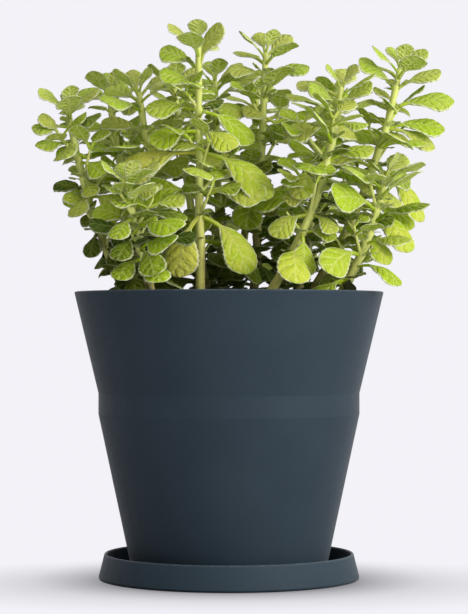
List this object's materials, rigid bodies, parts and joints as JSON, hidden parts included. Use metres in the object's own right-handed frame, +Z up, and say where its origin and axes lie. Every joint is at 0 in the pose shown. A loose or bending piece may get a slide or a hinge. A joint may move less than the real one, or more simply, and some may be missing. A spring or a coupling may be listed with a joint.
{
  "type": "planted pot with saucer",
  "caption": "Tapered round plant pot with an upright band, on a low saucer, filled with soil and planted with upright leafy stems.",
  "frame": {"origin": "centre of the saucer's flat underside, on the surface that it stands on", "axes": "+Z up along the pot's own axis, -Y towards the viewer of the picture, +X to that viewer's right"},
  "size_m": [0.2714, 0.2244, 0.3571],
  "materials": {
    "pot_plastic": "fine matt moulded plastic, dark petrol blue",
    "saucer_plastic": "fine matt moulded plastic, dark petrol blue",
    "potting_soil": "moist crumbly potting compost",
    "stem_skin": "downy pale green stem",
    "leaf_skin": "velvety yellow-green leaf with pale down on its edge"
  },
  "bodies": {
    "saucer": {"saucer": "saucer_plastic"},
    "pot": {"pot": "pot_plastic"},
    "plant": {"soil": "potting_soil", "stem_1": "stem_skin", "stem_2": "stem_skin", "stem_3": "stem_skin", "stem_4": "stem_skin", "stem_5": "stem_skin", "stem_6": "stem_skin", "stem_7": "stem_skin", "stem_8": "stem_skin", "stem_9": "stem_skin", "stem_10": "stem_skin", "stem_11": "stem_skin", "stem_12": "stem_skin", "stem_13": "stem_skin", "stem_14": "stem_skin", "stem_15": "stem_skin", "stem_16": "stem_skin", "leaves_1": "leaf_skin", "leaves_2": "leaf_skin", "leaves_3": "leaf_skin", "leaves_4": "leaf_skin", "leaves_5": "leaf_skin", "leaves_6": "leaf_skin", "leaves_7": "leaf_skin", "leaves_8": "leaf_skin", "leaves_9": "leaf_skin", "leaves_10": "leaf_skin", "leaves_11": "leaf_skin", "leaves_12": "leaf_skin", "leaves_13": "leaf_skin", "leaves_14": "leaf_skin", "leaves_15": "leaf_skin", "leaves_16": "leaf_skin"}
  },
  "joints": [
    {"name": "pot_lift", "type": "slide", "parent": "saucer", "child": "pot", "axis": [0, 0, 1], "range_m": [0, 0.04]},
    {"name": "plant_lift", "type": "slide", "parent": "pot", "child": "plant", "axis": [0, 0, 1], "range_m": [0, 0.19]}
  ]
}
